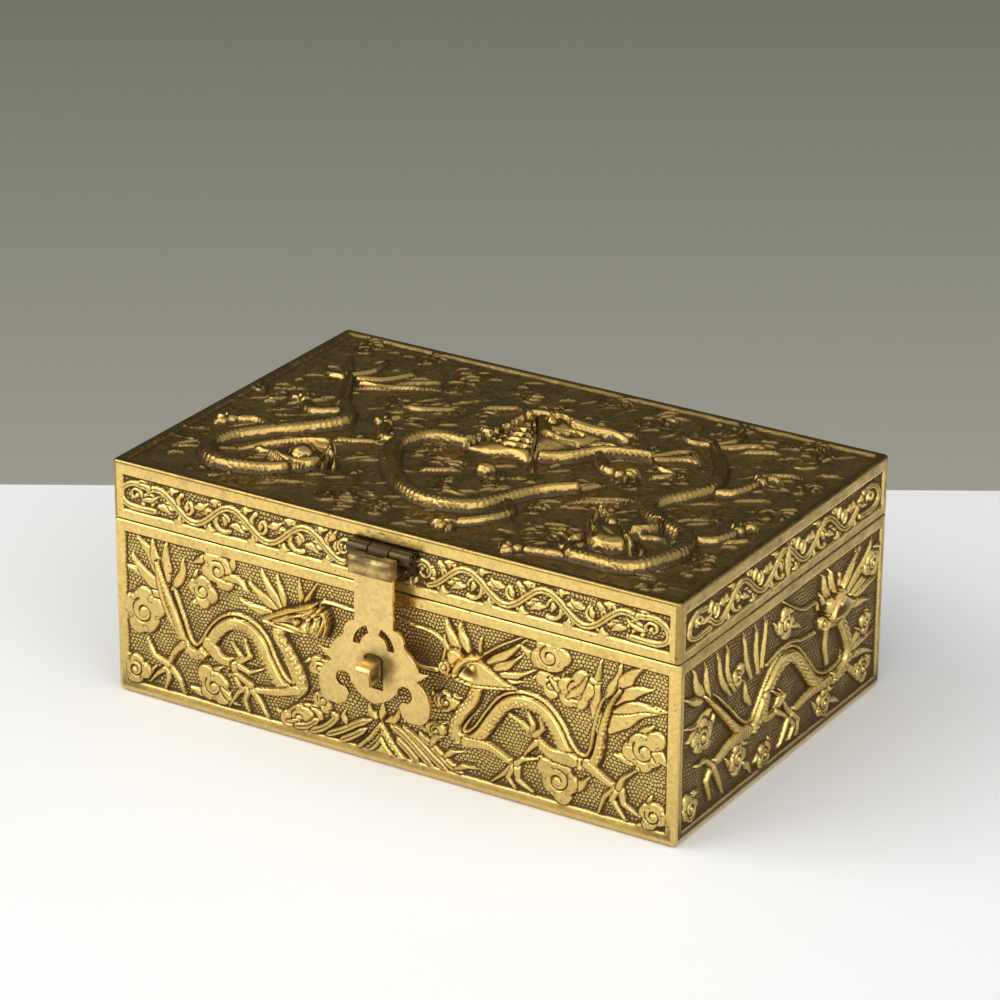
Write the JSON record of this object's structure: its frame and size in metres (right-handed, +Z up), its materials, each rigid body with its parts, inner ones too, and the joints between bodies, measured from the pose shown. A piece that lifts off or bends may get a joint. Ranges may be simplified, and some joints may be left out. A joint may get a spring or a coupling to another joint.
{
  "type": "brass jewelry box",
  "caption": "Rectangular cast brass jewelry box with a hinged carved lid, dragon reliefs on its sides and a pierced hasp over a front staple.",
  "frame": {"origin": "middle of the base's underside, halfway along the length and the depth of the box without its hasp and hinges", "axes": "+X along the length to the right as seen from the hasp side, +Y from the hasp side to the hinge side, +Z up"},
  "size_m": [0.1684, 0.1233, 0.0706],
  "materials": {
    "cast_brass": "hand-finished cast brass, bright on the borders and dark in the sunk ground",
    "aged_brass": "cast brass with a brown patina on the lid top, rubbed bright on the crests",
    "sheet_brass": "bright rubbed sheet brass with light scratches",
    "hinge_brass": "dull aged brass"
  },
  "bodies": {
    "base": {"base": "cast_brass", "staple": "sheet_brass", "base_hinge_leaf_left": "hinge_brass", "base_hinge_leaf_right": "hinge_brass", "lid_hinge_pin_left": "hinge_brass", "lid_hinge_pin_right": "hinge_brass"},
    "lid": {"lid": "aged_brass", "lid_hinge_leaf_left": "hinge_brass", "lid_hinge_leaf_right": "hinge_brass", "hasp_leaf": "hinge_brass", "hasp_pin": "hinge_brass"},
    "hasp": {"hasp": "sheet_brass"}
  },
  "joints": [
    {"name": "lid_hinge", "type": "hinge", "parent": "base", "child": "lid", "pos_m": [0, 0.0563, 0.0489], "axis": [-1, 0, 0], "range_deg": [0, 105]},
    {"name": "hasp_hinge", "type": "hinge", "parent": "lid", "child": "hasp", "pos_m": [-0.0002, -0.0559, 0.0594], "axis": [-1, 0, 0], "range_deg": [0, 100]}
  ]
}
